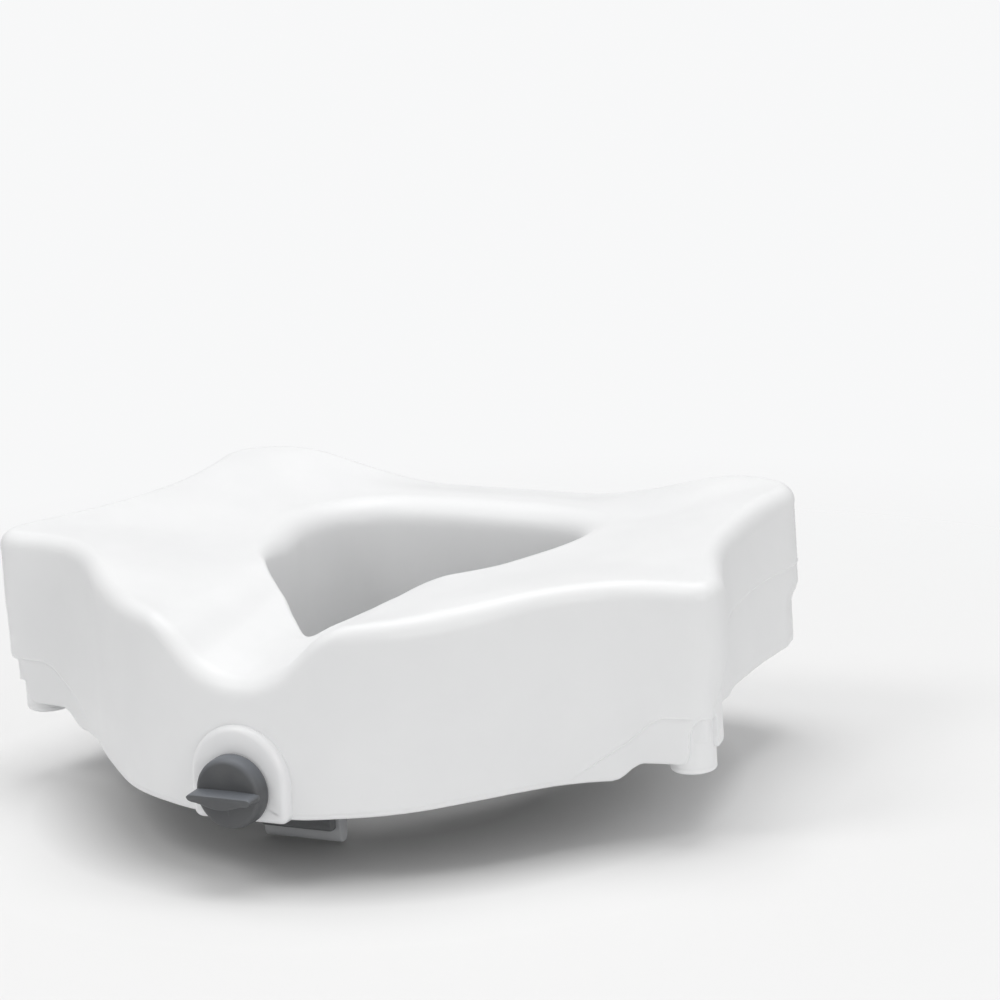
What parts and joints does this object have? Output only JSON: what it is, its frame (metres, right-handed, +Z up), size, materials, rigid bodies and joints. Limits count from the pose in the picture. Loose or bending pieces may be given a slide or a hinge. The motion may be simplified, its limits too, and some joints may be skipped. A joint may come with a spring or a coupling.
{
  "type": "raised toilet seat",
  "caption": "Hollow white raised toilet seat with four corner ears, a contoured top with a front relief, and a front knob that screws a clamp jaw against the bowl rim.",
  "frame": {"origin": "centre of the bottom of the whole object's box, on the left-right centre plane, at the height of the lowest point of the jaw leg and rear hooks", "axes": "+X to the right as seen from the knob side, +Y to the rear (tank side), +Z up; the knob faces -Y"},
  "size_m": [0.4444, 0.3646, 0.1437],
  "materials": {
    "white_body": "satin white blow-moulded polyethylene",
    "white_cover": "satin white injection-moulded plastic",
    "grey_knob": "matte dark grey moulded plastic",
    "steel": "zinc-plated steel",
    "nylon": "natural nylon",
    "guide_plastic": "light grey moulded plastic",
    "rubber_grey": "soft dark grey rubber",
    "brass_nut": "plain brass"
  },
  "bodies": {
    "seat": {"seat_shell": "white_body", "vent_plug": "white_cover", "column_caps": "white_cover", "knob_bezel": "white_cover", "bezel_screws": "steel", "thrust_washer": "nylon", "inner_washer": "steel", "jaw_guide": "guide_plastic", "guide_screws": "steel", "rear_hook_left": "guide_plastic", "rear_hook_right": "guide_plastic", "rear_hook_pads": "rubber_grey", "rear_hook_screws": "steel", "rim_pads": "rubber_grey"},
    "knob": {"front_knob": "grey_knob", "lead_screw": "steel", "retaining_ring": "steel", "screw_end_cap": "guide_plastic"},
    "jaw": {"clamp_jaw": "white_cover", "clamp_nut": "brass_nut", "clamp_pad": "rubber_grey"}
  },
  "joints": [
    {"name": "knob_turn", "type": "hinge", "parent": "seat", "child": "knob", "pos_m": [0, -0.1643, 0.049], "axis": [0, 1, 0], "range_deg": [-1800, 720]},
    {"name": "jaw_slide", "type": "slide", "parent": "seat", "child": "jaw", "axis": [0, -1, 0], "range_m": [-0.01505, 0.00605]}
  ],
  "couplings": [
    {"joint": "jaw_slide", "follows": "knob_turn", "m_per_rad": 0.00047746}
  ]
}
